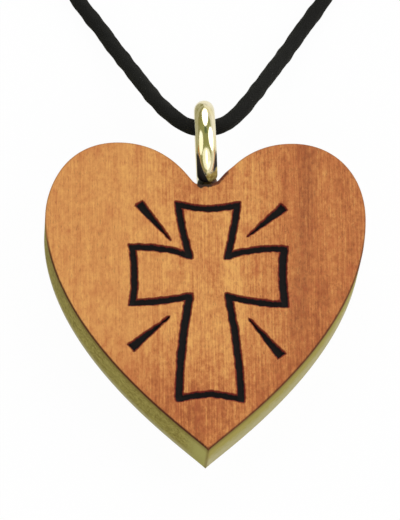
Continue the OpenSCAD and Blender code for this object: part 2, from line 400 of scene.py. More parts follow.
def cordFinish():
    f = Finish("braidedCord")
    place = f.node("UVMap", {"uv_map": "surface"})
    split = f.node("SeparateXYZ", {}, {0: place})
    around, along = split, Tone(f, split.socket.node.outputs[1])
    turn = around + along / cordSizes["twist"]
    # yarns slant one way on every other row of plaits, and the other way between them
    slant = f.step(f.calc("COSINE", turn * (2 * math.pi * cordSizes["bumps"])), -0.25, 0.25)
    across, down = turn * (math.pi * cordSizes["diameter"]) * 0.75, along * 0.66
    yarnsUp = f.calc("SINE", (across + down) * cordSizes["yarns"])
    yarnsDown = f.calc("SINE", (across - down) * cordSizes["yarns"])
    yarns = slant * yarnsUp + (1 - slant) * yarnsDown
    ownPlace = f.node("TexCoord", {}, {}, output=3)
    fuzz = f.cloud(ownPlace, 1800, 3)
    patch = f.cloud(ownPlace, 160, 2)
    shade = f.step(yarns * 0.25 + fuzz * 0.8, 0.1, 0.9)
    dark = f.blend(shade, tint(*cordTones["low"]), tint(*cordTones["high"]))
    worn = f.blend(patch * 0.5, dark, tint(*cordTones["patch"]))
    bump = f.node("Bump", {}, {"Strength": 0.5, "Distance": 0.00004, "Height": yarns * 0.5 + fuzz})
    return f.close(f.node("BsdfPrincipled", {}, {
        "Base Color": worn, "Roughness": 0.75 + fuzz * 0.15, "Normal": bump,
        "Specular IOR Level": 0.18,
    }))


cordBlack = cordFinish()
points, faces, corners = tube(cordPath, braidRadii(len(cordPath)), cordSizes["around"])
neckCord = newPiece("neckCord", pressed(points), faces, cordBlack)
addSurfacePlaces(neckCord, corners)

# The doubled overhand knot, in its own frame: along the knot, away from the coil, up;
# then the outward side of the pair there, and each strand's distance from the pair's middle
knotEntry = [
    (-3.9, 0, -0.35, 0, 0, -1, 0.75),
    (-2.2, 0.1, -0.4, 0, 0, -1, 0.75),
    (-0.4, 0.3, -0.7, 0, 0, -1, 0.75),
    (1.2, 0.4, -0.8, 0, 0, -1, 0.75),
    (2.35, 0.5, -0.1, 1, 0, -0.4, 0.75),
    (2.2, 0.5, 1.15, 1, 0, 0.5, 0.75),
    (1.75, -0.1, 1.8, 0.3, 0, 1, 0.78),
]
# round the pair: radius, first and last angle, and the places along the knot where they are
knotWrap = {"radius": 1.82, "from": 100, "to": 515, "start": 1.6, "end": -1.75, "apart": 0.78}
knotExit = [
    (-2.3, -1.55, -0.35, -0.6, -0.8, 0, 0.75),
    (-2.15, -1.0, -0.9, -0.7, -0.5, -0.5, 0.75),
    (-1.0, -0.5, -0.6, 0, -0.5, -0.8, 0.75),
    (0.8, -0.2, -0.2, 0, 0, -1, 0.75),
    (2.6, 0, -0.5, 0, 0, -1, 0.85),
    (3.8, 0, -1.2, 0, 0, -1, 1.1),
    (5.2, 0, -1.75, 0, 0, -1, 1.45),
    (6.8, 0, -1.85, 0, 0, -1, 1.75),
    (8.5, 0, -1.85, 0, 0, -1, 2.05),
    (knotSizes["tailEnd"], 0, -1.85, 0, 0, -1, 2.3),
]


def knotRows():
    w = knotWrap
    rows = list(knotEntry)
    for t in np.linspace(0, 1, 17):
        a = math.radians(w["from"] + t * (w["to"] - w["from"]))
        x = w["start"] + t * (w["end"] - w["start"])
        y, z = math.cos(a), math.sin(a)
        rows.append((x, w["radius"] * y, w["radius"] * z, 0, y, z, w["apart"]))
    return np.array(rows + knotExit, float)


def knotStrand(sign):
    rows = knotRows()
    middle = rows[:, :3]
    way = unit(np.gradient(middle, axis=0))
    across = unit(np.cross(way, rows[:, 3:6]))
    line = middle + sign * rows[:, 6:7] * across
    x, y = turned(line[:, 0], line[:, 1], knotSizes["angle"])
    return np.column_stack([x, y, line[:, 2]]) + np.array(knotSizes["centre"])


def knotMesh():
    points, faces, corners = [], [], []
    for sign in (1, -1):
        path = alongPath(knotStrand(sign), cordSizes["ringStep"])
        # the singed end is drawn together to a blunt bead
        left = (np.arange(len(path))[::-1] * cordSizes["ringStep"])[:, None]
        inBead = 1 - np.clip(left / knotSizes["beadLength"], 0, 1)
        radii = braidRadii(len(path)) * np.sqrt(np.clip(1 - inBead ** 2, 0.04, 1))
        p, f, c = tube(path, radii, cordSizes["around"], len(points))
        points += list(p)
        faces += f
        corners += c
    return pressed(points), faces, corners


points, faces, corners = knotMesh()
cordKnot = newPiece("cordKnot", points, faces, cordBlack)
addSurfacePlaces(cordKnot, corners)
for piece in (neckCord, cordKnot):
    piece.visible_glossy = False    # the coil, which the photo leaves out, doesn't show in the eye
    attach(piece, "root")
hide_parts("cord", "cord_coil")
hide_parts("cord_knot")
print("cord, coil and knot made")


# The heart, in its own frame: heights from the tip, the back at 0
heartSizes = {
    "width": 30.3, "thickness": 5, "widestAt": 23.4, "lobeAt": 31.2, "lobeSide": 8.3,
    "notchAt": 26.55, "notchRadius": 1.6, "tipSlope": 46, "notchSlope": 44, "edgeBreak": 0.12,
    # how the heart lies on the table
    "lean": 3.6, "pitch": 3.72278, "shift": (-0.156976, -17.911, 0.0102843),
    # cut by hand: how far it goes to the right at the top, and how much higher for each
    # millimetre to the right; from which height up, and over what length that sets in
    "handShift": 0.11, "handRise": 0.008, "handFrom": 21, "handOver": 7,
    # where the notch was left fuller: place across, reach and height
    "fills": ((0.1, 1.6, 0.36), (1.5, 1.2, 0.22)),
    "stepsPerSpan": (56, 40, 40, 12),   # along the flank, shoulder, inner side and notch
    # distance between points inside the face and the back, and how far they keep off the edge
    "faceGrid": (0.5, 0.25), "backGrid": (0.9, 0.4), "wallRings": 7,
}
burnSizes = {
    "depth": 0.4, "width": 0.62, "axis": 0.22,
    "spacing": 0.12,        # between points along a line
    "slope": 0.2,           # width of a groove's side
    "roughness": 0.03,      # of a groove's floor
    "headHalf": 2.8, "headAt": 24.73, "headDip": 0.41, "neckHalf": 1.8,
    "neckTop": 19.47, "neckLow": 15.36, "armReach": 7.15, "armTop": 20.26, "armLow": 14.62,
    "armDip": 0.2, "footHalf": 2.9, "footAt": 5.07, "footRise": 0.47,
    "edgeBow": 0.07, "headBow": 0.08, "armTopBow": 0.28, "armLowBow": 0.16, "footBow": 0.2,
    "rayWidth": 0.86, "rayTip": 0.08,
    "rays": (
        ((7.24, 24.63), (3.69, 21.5)), ((-6.51, 24.8), (-3.52, 21)),
        ((-7.29, 10.1), (-3.72, 13.25)), ((6.7, 9.44), (3.73, 13.11)),
    ),
    # how much wider the line is burnt there than its half width, on the right and on the left
    "footExtra": (0.03, 0.05), "armExtra": (0.06, 0.01), "headExtra": (0.01, 0.02),
    "rayExtra": 0.03,
    "corners": ((0.2, 0.17), (0.31, 0.1)),  # distance out of each corner, and radius there
    "shake": 0.08,          # how far the burnt line's edges wander
    # rows of points beside the edges: distance outwards
    "rows": (0.32, 0.16, 0.07, 0.02, -0.03, -0.08, -0.14, -0.21),
    "clear": 0.42,          # distance from the edges at which the wider grid starts
}


def laid(points):
    # from the heart's own frame to the table's
    p = np.asarray(points, float)
    x, z = turned(p[:, 0], p[:, 2], -heartSizes["lean"])
    y, z = turned(p[:, 1], z, heartSizes["pitch"])
    return np.column_stack([x, y, z]) + np.array(heartSizes["shift"])


def heartOutline():
    # counter-clockwise from the tip; the same spans and holds as in the CAD source
    s = heartSizes
    tipHold, flankHold, shoulderHold = 0.1, 0.51, 0.49
    crownHold, innerHold, notchHold = 0.68, 0.66, 0.15
    tipSlope, notchSlope = math.radians(s["tipSlope"]), math.radians(s["notchSlope"])
    widest = (s["width"] / 2, s["widestAt"])
    crown = (s["lobeSide"], s["lobeAt"])
    notchEnd = (
        s["notchRadius"] * math.sin(notchSlope),
        s["notchAt"] + s["notchRadius"] * (1 - math.cos(notchSlope)),
    )
    hold = tipHold * s["widestAt"]
    raised = shoulderHold * (s["lobeAt"] - s["widestAt"])
    pull = crownHold * (s["width"] / 2 - s["lobeSide"])
    inward = innerHold * (s["lobeSide"] - notchEnd[0])
    lift = notchHold * (s["lobeAt"] - s["notchAt"])
    n = s["stepsPerSpan"]
    flank = bezier(
        (0, 0), (hold * math.cos(tipSlope), hold * math.sin(tipSlope)),
        (widest[0], widest[1] * (1 - flankHold)), widest, n[0],
    )
    shoulder = bezier(
        widest, (widest[0], widest[1] + raised), (crown[0] + pull, crown[1]), crown, n[1]
    )
    inner = bezier(
        crown, (crown[0] - inward, crown[1]),
        (notchEnd[0] + lift * math.cos(notchSlope), notchEnd[1] + lift * math.sin(notchSlope)),
        notchEnd, n[2],
    )
    a = notchSlope * (1 - np.arange(n[3]) / n[3])
    floor = np.column_stack([
        s["notchRadius"] * np.sin(a), s["notchAt"] + s["notchRadius"] * (1 - np.cos(a)),
    ])
    right = np.vstack([flank, shoulder, inner, floor])
    left = right[::-1] * (-1, 1)
    whole = np.vstack([right, [(0, s["notchAt"])], left[left[:, 1] > 1e-9]])
    upper = eased((whole[:, 1] - s["handFrom"]) / s["handOver"])
    rise = s["handRise"] * whole[:, 0]
    for place, reach, height in s["fills"]:
        rise = rise + height * eased(1 - np.abs(whole[:, 0] - place) / reach)
    return whole + np.column_stack([s["handShift"] * upper, rise * upper])


def moved(path, distance):
    # a closed counter-clockwise path moved outwards, with mitred corners
    before = unit(path - np.roll(path, 1, axis=0))
    after = unit(np.roll(path, -1, axis=0) - path)
    a = np.column_stack([before[:, 1], -before[:, 0]])
    b = np.column_stack([after[:, 1], -after[:, 0]])
    distance = np.reshape(distance, (-1, 1)) if np.ndim(distance) else distance
    return path + distance * (a + b) / (1 + (a * b).sum(axis=1, keepdims=True))


def bowed(a, b, height):
    # from a towards b, bowed to the left of the way
    a, b = np.array(a, float), np.array(b, float)
    way = b - a
    count = max(int(np.linalg.norm(way) / burnSizes["spacing"]), 3)
    t = np.linspace(0, 1, count, endpoint=False)[:, None]
    left = np.array((-way[1], way[0])) / np.linalg.norm(way)
    return a + t * way + 4 * t * (1 - t) * height * left


def crossLine():
    # the cross's closed centre line, counter-clockwise from its foot, and its half width
    s = burnSizes
    foot, neckLow = (s["footHalf"], s["footAt"]), (s["neckHalf"], s["neckLow"])
    armLow, armTop = (s["armReach"], s["armLow"]), (s["armReach"], s["armTop"])
    neckTop, head = (s["neckHalf"], s["neckTop"]), (s["headHalf"], s["headAt"])
    sides = [
        ((0, s["footAt"] + s["footRise"]), foot, s["edgeBow"], (0, 0)),
        (foot, neckLow, -s["footBow"], s["footExtra"]),
        (neckLow, armLow, -s["armLowBow"], (0, 0)),
        (armLow, armTop, s["armDip"], s["armExtra"]),
        (armTop, neckTop, -s["armTopBow"], (0, 0)),
        (neckTop, head, -s["headBow"], s["headExtra"]),
        (head, (0, s["headAt"] - s["headDip"]), s["edgeBow"], (0, 0)),
    ]
    parts, extra = [], []
    for start, end, bow, wider in sides:
        part = bowed(start, end, bow)
        parts.append(part)
        extra += [wider] * len(part)
    right, extra = np.vstack(parts), np.array(extra)
    line = np.vstack([right, [(0, s["headAt"] - s["headDip"])], right[1:][::-1] * (-1, 1)])
    extra = np.concatenate([extra[:, 0], [0], extra[1:, 1][::-1]])
    # the width changes over five points
    extra = sum(np.roll(extra, k) for k in range(-2, 3)) / 5
    corners = []
    for at in [side[1] for side in sides[:-1]]:
        corners += [at, (-at[0], at[1])]
    return line, s["width"] / 2 + extra, np.array(corners)


def burntMarks():
    s = burnSizes
    line, half, corners = crossLine()
    offset = np.array((s["axis"], 0))
    spots = []
    for corner in corners:
        # the way out of a corner, seen from three points on either side of it
        at = int(np.linalg.norm(line - corner, axis=1).argmin())
        ahead, behind = line[(at + 3) % len(line)] - corner, line[at - 3] - corner
        out = -unit(unit(ahead) + unit(behind))
        spots += [(*(corner + shift * out + offset), radius) for shift, radius in s["corners"]]
    rays, middles = [], [line + offset]
    for blunt, fine in s["rays"]:
        blunt, fine = np.array(blunt) + offset, np.array(fine) + offset
        way = unit(fine - blunt)
        across = np.array((-way[1], way[0])) / 2
        ends = [
            blunt + across * s["rayWidth"], blunt - across * s["rayWidth"],
            fine - across * s["rayTip"], fine + across * s["rayTip"],
        ]
        rays.append(np.vstack([bowed(ends[i], ends[(i + 1) % 4], 0) for i in range(4)]))
        middles.append(bowed(blunt + 0.3 * way, fine, 0))
    return {
        "line": line + offset, "half": half, "spots": np.array(spots), "rays": rays,
        "middles": middles,
    }


def wander(points):
    # a slow and a quicker unevenness
    return np.array([
        noise.noise(Vector((x * 1.5, y * 1.5, 3.1))) + 0.6 * noise.noise(Vector((x * 4, y * 4, 8.7)))
        for x, y in points
    ])


def blocks(points):
    # so many points at a time that the distances fit in memory
    return np.array_split(points, max(len(points) // 1500, 1))


def toSegments(points, starts, way):
    # distance of each point from each segment
    away = points[:, None, :] - starts[None]
    square = np.maximum((way ** 2).sum(axis=1), 1e-12)
    t = np.clip((away * way).sum(axis=2) / square, 0, 1)
    return np.linalg.norm(away - t[..., None] * way, axis=2)


def burntDistance(points, marks):
    # to the nearest edge of the burnt lines, negative inside
    starts = marks["line"]
    way = np.roll(starts, -1, axis=0) - starts
    found = []
    for block in blocks(points):
        near = (toSegments(block, starts, way) - marks["half"]).min(axis=1)
        spots = np.linalg.norm(block[:, None, :] - marks["spots"][None, :, :2], axis=2)
        found.append(np.minimum(near, (spots - marks["spots"][:, 2]).min(axis=1)))
    rays = signedDistance(points, marks["rays"]) - burnSizes["rayExtra"]
    return np.minimum(np.concatenate(found), rays)


def burntRows(marks):
    # points beside the burnt edges, inside and outside, for the face's mesh
    angle = np.linspace(0, 2 * np.pi, 24, endpoint=False)
    circle = np.column_stack([np.cos(angle), np.sin(angle)])
    rows = []
    for level in burnSizes["rows"]:
        reach = marks["half"] + level
        spots = [moved(marks["line"], reach), moved(marks["line"], -reach)]
        spots += [moved(ray, burnSizes["rayExtra"] + level) for ray in marks["rays"]]
        for x, y, radius in marks["spots"]:
            if radius + level > 0.03:
                spots.append((x, y) + (radius + level) * circle)
        spots = np.vstack(spots)
        rows.append(spots[np.abs(burntDistance(spots, marks) - level) < 0.015])
    return np.vstack(rows + marks["middles"])


def signedDistance(points, shapes):
    # to the nearest edge of the shapes, negative inside (even-odd)
    starts = np.vstack(shapes)
    ends = np.vstack([np.roll(shape, -1, axis=0) for shape in shapes])
    way = ends - starts
    rise = np.where(np.abs(way[:, 1]) < 1e-12, 1e-12, way[:, 1])
    found = []
    for block in blocks(np.asarray(points, float)[:, :2]):
        near = toSegments(block, starts, way).min(axis=1)
        passed = (starts[:, 1] > block[:, 1:2]) != (ends[:, 1] > block[:, 1:2])
        crossing = starts[:, 0] + (block[:, 1:2] - starts[:, 1]) * way[:, 0] / rise
        inside = (passed & (block[:, :1] < crossing)).sum(axis=1) % 2 == 1
        found.append(np.where(inside, -near, near))
    return np.concatenate(found)


def innerGrid(outline, border, step, margin):
    # staggered points over the outline's box, kept where they are well inside the border
    low, high = outline.min(axis=0), outline.max(axis=0)
    rowStep = step * 0.866  # for triangles with three equal sides
    rows = []
    for j, y in enumerate(np.arange(low[1], high[1], rowStep)):
        x = np.arange(low[0] + (j % 2) * step / 2, high[0], step)
        rows.append(np.column_stack([x, np.full(len(x), y)]))
    grid = np.vstack(rows)
    return grid[signedDistance(grid, [border]) < -margin]


def filled(border, inner):
    # triangles that fill the border and use the inner points
    points = [Vector(p) for p in np.vstack([border, inner])]
    made = geometry.delaunay_2d_cdt(points, [], [list(range(len(border)))], 1, 1e-6)
    return np.array([tuple(p) for p in made[0]]), [tuple(f) for f in made[2]]


def heartMesh(marks):
    thick, brk = heartSizes["thickness"], heartSizes["edgeBreak"]
    outline = heartOutline()
    inset = moved(outline, -brk)
    grid = innerGrid(outline, inset, *heartSizes["faceGrid"])
    grid = grid[burntDistance(grid, marks) > burnSizes["clear"]]
    facePoints, faceTriangles = filled(inset, np.vstack([burntRows(marks), grid]))
    backGrid = innerGrid(outline, inset, *heartSizes["backGrid"])
    backPoints, backTriangles = filled(inset, backGrid)
    made = bmesh.new()

    def addPoints(rows):
        return [made.verts.new(p) for p in rows]

    def level(path, z):
        return np.column_stack([path, np.full(len(path), z)])

    face = addPoints(level(facePoints, thick))
    for a, b, c in faceTriangles:
        made.faces.new((face[a], face[b], face[c]))
    back = addPoints(level(backPoints, 0))
    for a, b, c in backTriangles:
        made.faces.new((back[c], back[b], back[a]))
    rings = []
    rounding = [math.radians(a) for a in (0, 22.5, 45, 67.5, 90)]
    for a in rounding[::-1]:
        rings.append((-brk * (1 - math.cos(a)), brk * (1 - math.sin(a))))
    for z in np.linspace(brk, thick - brk, heartSizes["wallRings"] + 2)[1:-1]:
        rings.append((0.0, z))
    for a in rounding:
        rings.append((-brk * (1 - math.cos(a)), thick - brk * (1 - math.sin(a))))
    walls = [addPoints(level(moved(outline, shift), z)) for shift, z in rings]
    count = len(outline)
    for low, high in zip(walls[:-1], walls[1:]):
        for k in range(count):
            j = (k + 1) % count
            made.faces.new((low[k], low[j], high[j], high[k]))
    bmesh.ops.remove_doubles(made, verts=made.verts, dist=1e-4)
    mesh = bpy.data.meshes.new("woodenHeart")
    made.to_mesh(mesh)
    made.free()
    return mesh, outline


def heartPiece(finish):
    marks = burntMarks()
    mesh, outline = heartMesh(marks)
    own = np.empty(len(mesh.vertices) * 3)
    mesh.vertices.foreach_get("co", own)
    own = own.reshape(-1, 3)
    thick = heartSizes["thickness"]
    onFace = own[:, 2] > thick - 0.01
    burn = np.full(len(own), 2.0)
    face = own[onFace][:, :2]
    burn[onFace] = burntDistance(face, marks) + burnSizes["shake"] * wander(face)
    # from the outline inwards on the face, and from the face down on the walls
    rim = np.where(onFace, -signedDistance(own, [outline]), own[:, 2] - thick)
    sink = eased((0.04 - burn) / burnSizes["slope"])
    rough = np.array([noise.noise(Vector(p) * 3.0) for p in own])
    shaped = own.copy()
    shaped[:, 2] -= sink * (burnSizes["depth"] + burnSizes["roughness"] * rough)
    mesh.vertices.foreach_set("co", (laid(shaped) * mm).ravel())
    board = mesh.attributes.new("board", "FLOAT_VECTOR", "POINT")
    board.data.foreach_set("vector", own.astype(np.float32).ravel())
    addValues(mesh, "burn", np.clip(burn, -1, 2))
    addValues(mesh, "rim", np.clip(rim, -5, 3))
    mesh.shade_smooth()
    mesh.materials.append(finish)
    mesh.update()
    piece = bpy.data.objects.new("woodenHeart", mesh)
    scene.collection.objects.link(piece)
    print("heart: %d points, %d faces" % (len(mesh.vertices), len(mesh.polygons)))
    return piece


woodTones = {
    "gold": (232, 171, 96), "base": (219, 153, 86), "amber": (198, 123, 68),
    "russet": (166, 92, 50), "pore": (112, 56, 34), "flush": (188, 98, 58),
    "speck": (134, 76, 46), "rim": (128, 84, 36), "char": (30, 28, 28),
    "scorch": (112, 20, 16), "edge": (70, 32, 14), "nearEyeDark": (50, 34, 26), "halo": (100, 50, 29),
    "wallLeft": (170, 160, 84), "wallLeftDark": (120, 106, 46), "wallTip": (162, 156, 88),
    "wallRight": (162, 150, 74), "wallGrey": (184, 176, 134), "wallTop": (112, 92, 38),
    # painted shade on the notch's own wall
    "notchWallShade": (40, 30, 26),
}

# Each cloud in the wood: how fine it is across, along and through the board, in parts for
# each millimetre, then its detail, roughness and distortion
woodGrain = {
    "streak": ((5.2, 0.13, 5.2), 2, 0.6),
    "thread": ((11.0, 0.4, 11.0), 1, 0.5),
    "band": ((0.9, 0.07, 0.9), 2, 0.5, 0.2),
    "mottle": ((2.1, 1.5, 2.1), 4, 0.7),
    "flush": ((0.8, 0.35, 0.8), 3, 0.7),
    "blush": ((4.0, 1.3, 4.0), 3, 0.75),
    "fleck": ((9.0, 1.6, 9.0), 2, 0.6),
    "speck": ((5.5, 2.4, 5.5), 2, 0.7),
    "grit": ((5.0, 4.0, 5.0), 2, 0.6),
    "ragged": ((3.4, 3.4, 3.4), 3, 0.65),
}


def woodFinish():
    f = Finish("oiledWood")
    tones = {name: tint(*tone) for name, tone in woodTones.items()}
    board = f.node("Attribute", {"attribute_name": "board"}, {}, output=1)
    burn = f.node("Attribute", {"attribute_name": "burn"}, {}, output=2)
    rim = f.node("Attribute", {"attribute_name": "rim"}, {}, output=2)
    grain = {
        name: f.cloud(f.stretched(board, fineness), 1.0, *kind)
        for name, (fineness, *kind) in woodGrain.items()
    }
    streak, thread, mottle, grit = (grain[k] for k in ("streak", "thread", "mottle", "grit"))
    split = f.node("SeparateXYZ", {}, {0: board})
    x, y = split, Tone(f, split.socket.node.outputs[1])
    aside = f.calc("ABSOLUTE", x)
    figure = (mottle - 0.5) * 1.6 + (grain["band"] - 0.5) * 0.8
    figure = figure + (streak - 0.5) * 1.1 + (thread - 0.5) * 0.5
    # livelier from the middle on
    lively = 0.6 + 0.5 * f.step(x, -9.0, -1.0) - 0.3 * f.step(x, 2.0, 8.0)
    # redder to the right, towards the tip, under the notch and at the lobes' tops
    rightSide, tipEnd = f.step(x, 3.0, 9.5), 1 - f.step(y, 3.0, 13.0)
    underNotch = f.step(y, 23.5, 26.0) * (1 - f.step(aside, 1.5, 6.0))
    lobeTops = f.step(y, 27.5, 31.0)
    redder = 0.42 * rightSide + 0.47 * tipEnd + 0.18 * underNotch + 0.08 * lobeTops
    colour = f.node("ValToRGB", {"stops": (
        (0.0, tones["gold"]), (0.3, tones["base"]), (0.65, tones["amber"]), (1.0, tones["russet"]),
    )}, {0: 0.3 + redder + figure * lively})
    # reddish patches, large and small
    colour = f.blend(f.step(grain["flush"], 0.5, 0.72) * 0.35, colour, tones["flush"])
    colour = f.blend(f.step(grain["blush"], 0.5, 0.66) * 0.4, colour, tones["flush"])
    # handled darker along the edge of the lobes
    rimTone = (1 - f.step(rim + mottle * 0.12, 0.08, 0.24)) * f.step(y, 18.0, 23.0)
    colour = f.blend(rimTone * 0.45, colour, tones["rim"])
    pores = f.step(grain["fleck"] + grain["band"] * 0.25 + redder * 0.08, 0.72, 0.94)
    colour = f.blend(pores * 0.6, colour, tones["pore"])
    # painted shadow: a darker band beside the cross; and fine specks that grow thicker to the right
    # and in that band
    offBand = f.calc("ABSOLUTE", x - 9.4 + (22.7 - y) * 0.103)
    paintedShadowBand = (1 - f.step(offBand + mottle - 0.5, 0.2, 1.2)) * f.step(y, 9.0, 13.0)
    specks = f.step(grain["speck"] + paintedShadowBand * 0.06, 0.54, 0.72)
    specks = specks * (0.1 + 0.32 * f.step(x, 0.0, 8.0))
    colour = f.blend(specks + paintedShadowBand * 0.16, colour, tones["speck"])
    # the side walls are raw wood, paler at the back and the tip, darker by the face
    cut = f.step(streak * 0.25 + mottle * 0.4 + grit * 0.5, 0.42, 0.76)
    leftWall = f.blend(cut, tones["wallLeftDark"], tones["wallLeft"])
    leftWall = f.blend(f.step(-rim, 3.8, 4.7) * 0.8, leftWall, tones["wallGrey"])
    leftWall = f.blend(1 - f.step(aside, 0.6, 2.6), leftWall, tones["wallTip"])
    grey = f.step((mottle - 0.5) * 3.0 - rim, 1.4, 4.2) * (1 - 0.65 * f.step(y, 19.0, 25.0))
    rightWall = f.blend(grey + (grit - 0.5) * 0.5, tones["wallRight"], tones["wallGrey"])
    wall = f.blend(f.step(x, -0.3, 0.3), leftWall, rightWall)
    wall = f.blend(f.step(rim, -1.3, -0.2) * 0.6, wall, tones["wallTop"])
    wall = f.blend((1 - f.step(aside, 0.03, 0.25)) * 0.5, wall, tones["wallTop"])
    # painted shade: the notch's own wall is darkened beside the eye, near black on the left and
    # red-brown on the right
    inNotch = f.step(y, 24.5, 25.5) * (1 - f.step(aside + mottle, 2.4, 3.8))
    inside = f.blend(f.step(x + mottle, 0.5, 1.1), tones["notchWallShade"], tones["halo"])
    wall = f.blend(inNotch, wall, inside)
    onWall = 1 - f.step(rim, -0.16, -0.08)
    colour = f.blend(onWall, colour, wall)
    # a dark line where face and wall meet on the two long sides
    line = f.step(rim + streak * 0.05, -0.24, -0.08) * (1 - f.step(rim + thread * 0.1, 0.12, 0.26))
    line = line * (1 - f.step(y, 19.0, 23.5)) * (0.95 - 0.15 * f.step(x, -1.0, 1.0))
    colour = f.blend(line, colour, tones["edge"])
    # darker round the screw eye, near black on the left and red-brown on the right
    patchy = mottle - 0.5
    nearWire = 1 - f.step(f.calc("ABSOLUTE", x - 0.7) + patchy * 0.8, 1.35, 1.7)
    darkRoundEye = nearWire * (1 - f.step(rim + patchy * 0.8, 0.27, 0.44)) * f.step(y, 25.0, 25.5)
    darkRoundEyeTone = f.blend(f.step(x + patchy, 0.3, 0.9), tones["nearEyeDark"], tones["halo"])
    colour = f.blend(darkRoundEye, colour, darkRoundEyeTone)
    # charred lines with a scorched border
    burnt = burn + (grain["ragged"] - 0.5) * 0.16
    char = 1 - f.step(burnt, -0.08, 0.01)
    colour = f.blend((1 - f.step(burnt, 0.03, 0.16)) * 0.95, colour, tones["scorch"])
    colour = f.blend(char, colour, tones["char"])
    bump = f.node("Bump", {}, {
        "Strength": 0.35, "Distance": 0.00006,
        "Height": streak * 0.6 + thread * 0.5 + grain["ragged"] * char,
    })
    return f.close(f.node("BsdfPrincipled", {}, {
        "Base Color": colour, "Normal": bump, "Specular IOR Level": 0.18,
        "Roughness": 0.52 + char * 0.35 + onWall * 0.35 + streak * 0.1,
    }))


woodenHeart = heartPiece(woodFinish())
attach(woodenHeart, "root")
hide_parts("heart_body")


# The screw eye
eyeSizes = {
    "wire": 1.95, "loop": 9.1, "bend": 1.2, "rise": 0.65, "cutAngle": 71.0,
    "shank": 7.0, "point": 1.8, "pointWidth": 0.3, "side": 0.44, "lean": 2.0, "turn": 3.6,
    "around": 40, "shankSteps": 8, "bendSteps": 16, "loopSteps": 170,
    # the broken edge of the cut end: distance ahead, and part of the wire's width there
    "cutEdge": ((0.03, 0.985), (0.06, 0.95), (0.08, 0.88)),
}


def eyeMesh():
    s = eyeSizes
    half, bend = s["wire"] / 2, s["bend"]
    loopR = (s["loop"] - s["wire"]) / 2
    up = math.sqrt((loopR + bend) ** 2 - bend ** 2)
    bendAngle = math.atan2(up, bend)
    # across, along the shank, and the wire's radius
    places = [(0, -s["shank"] - s["point"], s["pointWidth"] / 2)]
    places += [(0, y, half) for y in np.linspace(-s["shank"], 0, s["shankSteps"])]
    for a in np.linspace(0, bendAngle, s["bendSteps"]):
        places.append((-bend + bend * math.cos(a), s["rise"] + bend * math.sin(a), half))
    loopEnd = -math.radians(s["cutAngle"])
    for a in np.linspace(math.pi + bendAngle, loopEnd, s["loopSteps"])[1:]:
        places.append((loopR * math.cos(a), s["rise"] + up + loopR * math.sin(a), half))
    tip = np.array(places[-1])
    heading = unit(tip[:2] - np.array(places[-2])[:2])
    places += [(*(tip[:2] + heading * ahead), half * part) for ahead, part in s["cutEdge"]]
    places = np.array(places)
    path = np.column_stack([np.zeros(len(places)), places[:, 1], places[:, 0]])
    radii = np.repeat(places[:, 2:3], s["around"], axis=1)
    points, faces, corners = tube(path, radii, s["around"])
    # turned and leaning in the notch, at half the board's thickness
    across, height = turned(points[:, 0], points[:, 2], s["turn"])
    x, y = turned(across, points[:, 1], s["lean"])
    seat = np.array((s["side"], heartSizes["notchAt"], heartSizes["thickness"] / 2))
    sideways = points[:, 0] / half
    return laid(np.column_stack([x, y, height]) + seat), faces, corners, sideways


eyeTones = {
    "bright": (242, 234, 212), "dull": (232, 222, 180), "torn": (172, 140, 60),
    "tornBright": (255, 238, 150), "cut": (150, 100, 44), "cutBright": (226, 190, 96),
    # tones of the painted reflection and painted shade near the wood, and of the brass showing
    # through
    "paintedReflectionAndShade": (31, 25, 26), "paintedBendShade": (104, 58, 34), "bits": (134, 110, 54),
}


